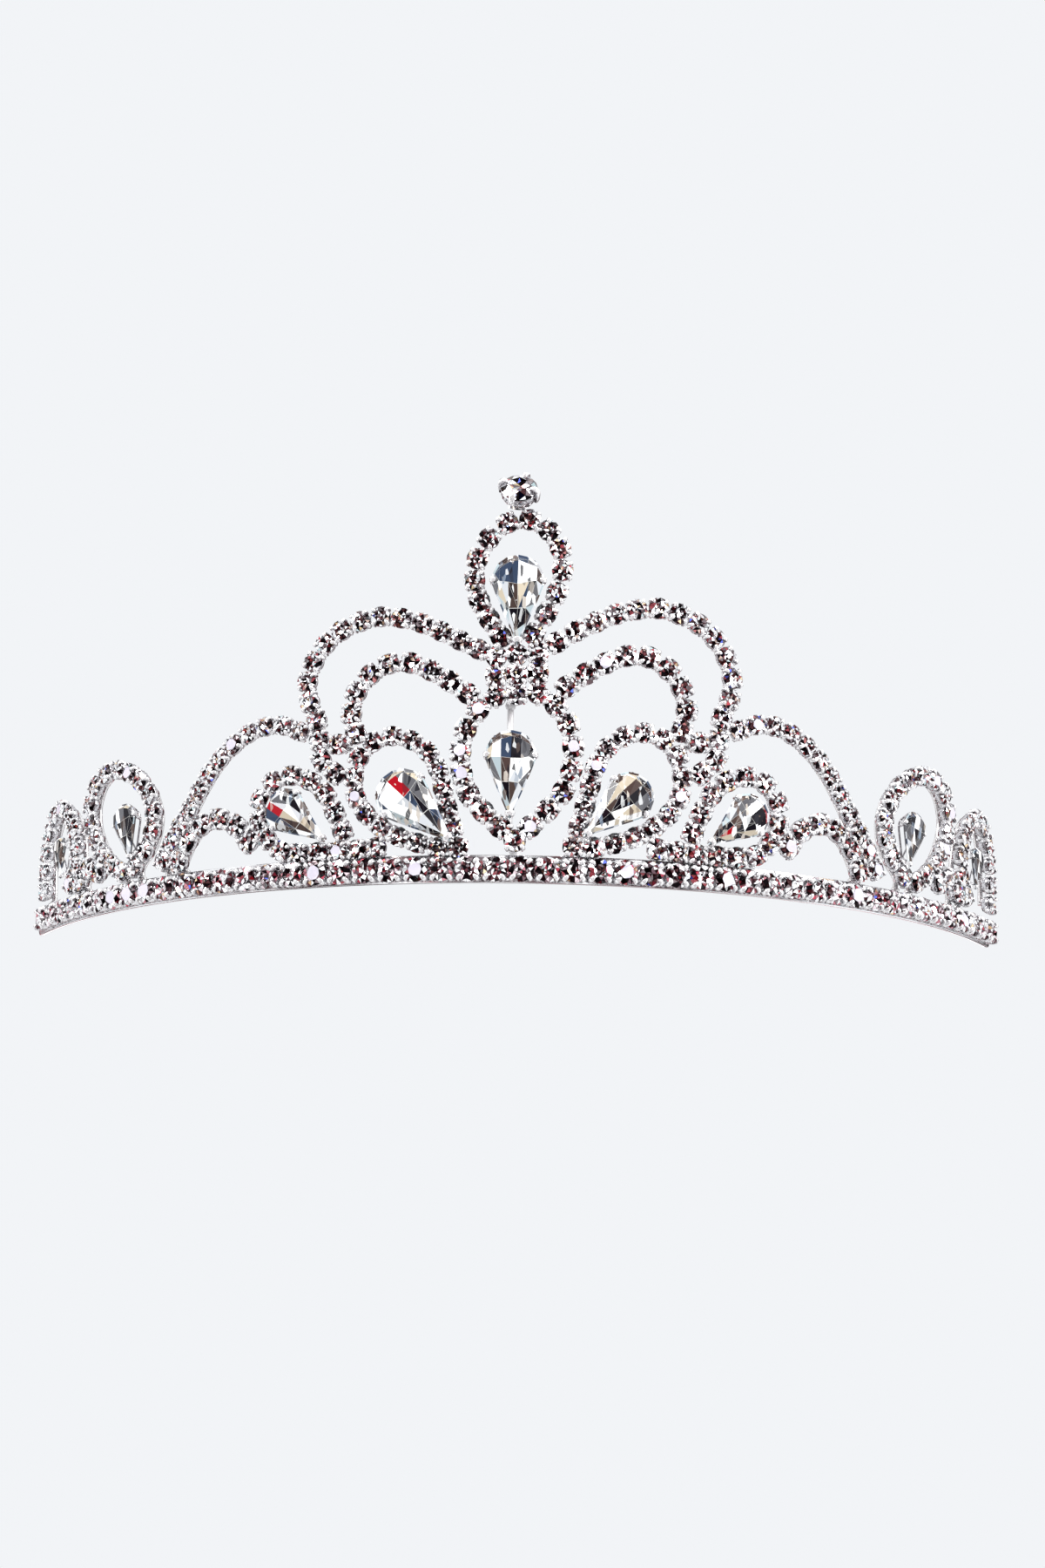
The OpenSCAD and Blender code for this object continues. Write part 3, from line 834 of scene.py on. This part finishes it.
def build_strip():
    """The headband: a bent strip with rounded ends, a pin hole near each, and its edges eased."""
    radii = [math.hypot(v.co.x, v.co.y - AXIS_Y) for v in frame["nodes"]["band_strip"].data.vertices]
    inner, outer = min(radii), FACE_R - 0.03 * MM
    low, high = 0.35 * MM - pin_pos[2], STRIP_TOP - 0.1 * MM - pin_pos[2]
    pin_angle = math.atan2(pin_pos[0], AXIS_Y - pin_pos[1])
    hole, border = strip_end(low, high)
    bm = bmesh.new()

    def corner(along, up, side, radius):
        angle = side * (pin_angle + along / FACE_R)
        s, c = math.sin(angle), math.cos(angle)
        return bm.verts.new((radius * s, AXIS_Y - radius * c, pin_pos[2] + up))

    for side in (-1, 1):
        rings = [[corner(x, y, side, radius) for x, y in points]
                 for radius, points in ((outer, hole), (outer, border), (inner, border), (inner, hole))]
        n = len(border)
        for i in range(4):
            for k in range(n):
                if i == 1 and k >= n - 4:
                    continue
                a, b = rings[i], rings[(i + 1) % 4]
                bm.faces.new((a[k], a[(k + 1) % n], b[(k + 1) % n], b[k]))
    levels = [low + (high - low) * k / 4 for k in range(5)]
    loop = [(v, outer) for v in levels] + [(v, inner) for v in reversed(levels)]
    reach, count = pin_angle - END_BLOCK / FACE_R, 130
    rows = []
    for i in range(count + 1):
        angle = reach * (2 * i / count - 1)
        s, c = math.sin(angle), math.cos(angle)
        rows.append([bm.verts.new((radius * s, AXIS_Y - radius * c, pin_pos[2] + v))
                     for v, radius in loop])
    for a, b in zip(rows, rows[1:]):
        for k in range(len(loop)):
            k1 = (k + 1) % len(loop)
            bm.faces.new((a[k], b[k], b[k1], a[k1]))
    bmesh.ops.remove_doubles(bm, verts=bm.verts, dist=0.005 * MM)
    bmesh.ops.recalc_face_normals(bm, faces=bm.faces)
    sharp = [e for e in bm.edges if e.is_manifold and e.calc_face_angle(0) > 0.9]
    bmesh.ops.bevel(bm, geom=sharp, offset=0.14 * MM, segments=2, affect="EDGES", profile=0.5)
    shape = Shape()
    bm.verts.index_update()
    shape.add([v.co for v in bm.verts], [[v.index for v in f.verts] for f in bm.faces], smooth=True)
    bm.free()
    shape.piece("band_strip_fine", [MAT_STRIP], "band_strip", "band").data.set_sharp_from_angle(angle=0.6)


def build_rod():
    """The upright wire behind the middle pear. It has a solder bead at each end, and another one stands
    between the foot of the drop and the strip."""
    low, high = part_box("centre_rod")
    x, y = (low.x + high.x) / 2 + ROD_ASIDE, (low.y + high.y) / 2
    shape = Shape()
    heights = np.linspace(low.z, high.z, 12)
    sweep(shape, [(x, y, z) for z in heights], [(0, -1, 0)] * 12, (high.x - low.x) / 2, 16)
    for z in (low.z + 0.4 * MM, high.z - 0.4 * MM):
        solder_bead(shape, Matrix.Translation((x, y, z)), 0.85 * MM)
    solder_bead(shape, Matrix.Translation((0, y, STRIP_TOP + 0.4 * MM)), 0.9 * MM)
    shape.piece("centre_rod_fine", [MAT_ROD], "centre_rod", "setting")


build_strip()
build_rod()


# ---- floor, light and camera ----
def floor():
    """Pale paper, seen from above only, since the camera stands a little below it. It glows a little, so
    that it stays even away from the lights."""
    mesh = bpy.data.meshes.new("floor")
    half = 6
    corners = [(-half, -half, 0), (half, -half, 0), (half, half, 0), (-half, half, 0)]
    mesh.from_pydata(corners, [], [(0, 1, 2, 3)])
    mat, nodes, links, shader = new_material("floor_paper")
    shader.inputs["Roughness"].default_value = 0.9
    shader.inputs["Emission Color"].default_value = (*BACKDROP, 1)
    shader.inputs["Emission Strength"].default_value = 0.55
    noise = nodes.new("ShaderNodeTexNoise")
    noise.inputs["Scale"].default_value = 400
    ramp = nodes.new("ShaderNodeMapRange")
    ramp.inputs["To Min"].default_value = 0.2
    ramp.inputs["To Max"].default_value = 0.22
    see_through = nodes.new("ShaderNodeBsdfTransparent")
    side = nodes.new("ShaderNodeNewGeometry")
    mix = nodes.new("ShaderNodeMixShader")
    links.new(noise.outputs["Fac"], ramp.inputs["Value"])
    links.new(ramp.outputs["Result"], shader.inputs["Base Color"])
    links.new(side.outputs["Backfacing"], mix.inputs[0])
    links.new(shader.outputs[0], mix.inputs[1])
    links.new(see_through.outputs[0], mix.inputs[2])
    links.new(mix.outputs[0], nodes["Material Output"].inputs["Surface"])
    mesh.materials.append(mat)
    obj = bpy.data.objects.new("floor", mesh)
    obj.visible_glossy = False
    obj.visible_transmission = False
    bpy.context.scene.collection.objects.link(obj)


def smooth_range(nodes, start, stop):
    """Map node that goes softly from 0 at start to 1 at stop."""
    node = nodes.new("ShaderNodeMapRange")
    node.interpolation_type = "SMOOTHSTEP"
    node.inputs["From Min"].default_value = start
    node.inputs["From Max"].default_value = stop
    return node


def world():
    """Pale seamless studio. What the stones mirror is broken up: dark things and people stand in front and
    right behind, and white panels with gaps between them everywhere else."""
    w = bpy.data.worlds.new("studio")
    bpy.context.scene.world = w
    w.use_nodes = True
    nodes, links = w.node_tree.nodes, w.node_tree.links
    back = nodes["Background"]
    place = nodes.new("ShaderNodeTexCoord")
    axes = nodes.new("ShaderNodeSeparateXYZ")
    side = nodes.new("ShaderNodeMath")
    side.operation = "ABSOLUTE"
    ahead = nodes.new("ShaderNodeMath")
    ahead.operation = "MULTIPLY_ADD"
    ahead.inputs[1].default_value = 0.5
    gap = smooth_range(nodes, 0.12, -0.1)
    rear = smooth_range(nodes, 0.5, 0.8)
    either = nodes.new("ShaderNodeMath")
    either.operation = "MAXIMUM"
    cells = nodes.new("ShaderNodeTexVoronoi")
    cells.inputs["Scale"].default_value = 7.0
    split = nodes.new("ShaderNodeSeparateColor")
    front = steps(nodes, ((0.0, (0.01, 0.007, 0.009)), (0.34, (0.1, 0.04, 0.045)),
                          (0.47, (0.32, 0.26, 0.28)), (0.66, (0.45, 0.1, 0.12)),
                          (0.75, (1.5, 1.52, 1.55))))
    around = steps(nodes, ((0.0, (0.03, 0.024, 0.026)), (0.05, (0.28, 0.25, 0.26)),
                           (0.15, (0.75, 0.5, 0.3)), (0.17, (0.55, 0.53, 0.56)),
                           (0.22, (1.2, 1.22, 1.25))))
    mix = nodes.new("ShaderNodeMixRGB")
    path = nodes.new("ShaderNodeLightPath")
    seen = nodes.new("ShaderNodeMixRGB")
    seen.inputs["Color2"].default_value = (*BACKDROP, 1)
    links.new(place.outputs["Generated"], axes.inputs["Vector"])
    links.new(axes.outputs["X"], side.inputs[0])
    links.new(side.outputs["Value"], ahead.inputs[0])
    links.new(axes.outputs["Y"], ahead.inputs[2])
    links.new(ahead.outputs["Value"], gap.inputs["Value"])
    links.new(place.outputs["Generated"], cells.inputs["Vector"])
    links.new(cells.outputs["Color"], split.inputs["Color"])
    for ramp in (front, around):
        links.new(split.outputs["Red"], ramp.inputs["Fac"])
    links.new(axes.outputs["Y"], rear.inputs["Value"])
    links.new(gap.outputs["Result"], either.inputs[0])
    links.new(rear.outputs["Result"], either.inputs[1])
    links.new(either.outputs["Value"], mix.inputs["Fac"])
    links.new(around.outputs["Color"], mix.inputs["Color1"])
    links.new(front.outputs["Color"], mix.inputs["Color2"])
    even = nodes.new("ShaderNodeMixRGB")
    even.inputs["Color2"].default_value = (1.0, 1.0, 1.0, 1)
    links.new(mix.outputs["Color"], even.inputs["Color1"])
    links.new(path.outputs["Is Diffuse Ray"], even.inputs["Fac"])
    links.new(even.outputs["Color"], seen.inputs["Color1"])
    links.new(path.outputs["Is Camera Ray"], seen.inputs["Fac"])
    links.new(seen.outputs["Color"], back.inputs["Color"])


def softbox(name, place, size, power):
    """Rectangular lamp that points at the middle of the tiara."""
    light = bpy.data.lights.new(name, "AREA")
    light.shape = "RECTANGLE"
    light.size, light.size_y = size
    light.energy = power
    obj = bpy.data.objects.new(name, light)
    obj.location = place
    obj.rotation_euler = (Vector((0, 0, 0.03)) - Vector(place)).to_track_quat("-Z", "Y").to_euler()
    bpy.context.scene.collection.objects.link(obj)


def camera():
    """Camera in front of the tiara and a little below its band, looking slightly up."""
    data = bpy.data.cameras.new("camera")
    data.sensor_width = 36
    data.lens = 76.0
    cam = bpy.data.objects.new("camera", data)
    cam.location = (1.1 * MM, AXIS_Y - 588 * MM, -96.7 * MM)
    tilt, roll = math.radians(12.69), math.radians(0.72)
    turn = Matrix.Rotation(math.pi / 2 + tilt, 3, "X") @ Matrix.Rotation(roll, 3, "Z")
    cam.rotation_euler = turn.to_euler()
    bpy.context.scene.collection.objects.link(cam)
    bpy.context.scene.camera = cam


floor()
world()
softbox("key", (-0.5, -0.5, 0.6), (0.35, 0.35), 9)
softbox("fill", (0.6, -0.3, 0.35), (0.25, 0.4), 6)
camera()
bpy.context.scene.view_settings.view_transform = "Standard"
